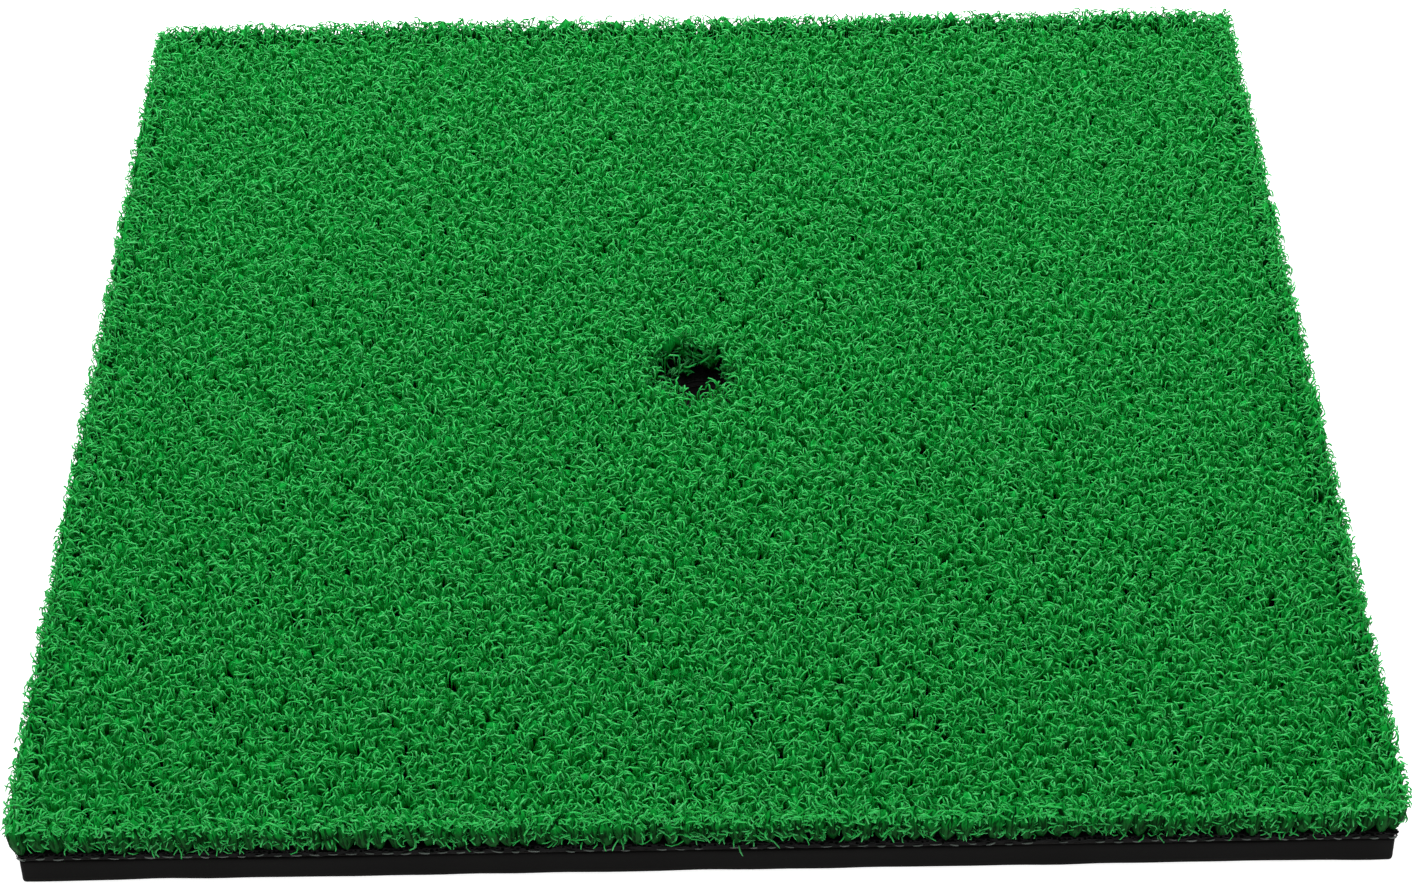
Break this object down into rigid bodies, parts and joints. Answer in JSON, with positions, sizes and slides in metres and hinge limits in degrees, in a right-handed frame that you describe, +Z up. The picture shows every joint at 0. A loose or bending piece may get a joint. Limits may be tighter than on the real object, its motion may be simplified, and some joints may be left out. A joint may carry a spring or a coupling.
{
  "type": "golf hitting mat",
  "caption": "Square golf hitting mat: curly tufted turf on a woven, latex-coated backing, glued to a foam pad, with a central hole for a rubber tee.",
  "frame": {"origin": "middle of the underside of the foam pad, where the mat rests", "axes": "+Z up through the pile; +X along the rows of tufts, to the right of someone facing the mat; +Y away from them"},
  "size_m": [0.302, 0.302, 0.02],
  "materials": {
    "foam": "satin closed-cell foam, black, die cut",
    "glue": "dull black contact adhesive",
    "latex": "black latex compound, satin and slightly lumpy",
    "stitch_yarn": "yarn soaked in latex, glinting where it is cut",
    "cloth": "black woven polypropylene tape",
    "pile_yarn": "green curled monofilament pile, slightly glossy"
  },
  "bodies": {
    "root": {"foam_pad": "foam", "glue_film": "glue", "latex_coat": "latex", "back_stitches": "stitch_yarn", "backing_cloth": "cloth", "tuft_rows": "pile_yarn"}
  },
  "joints": []
}
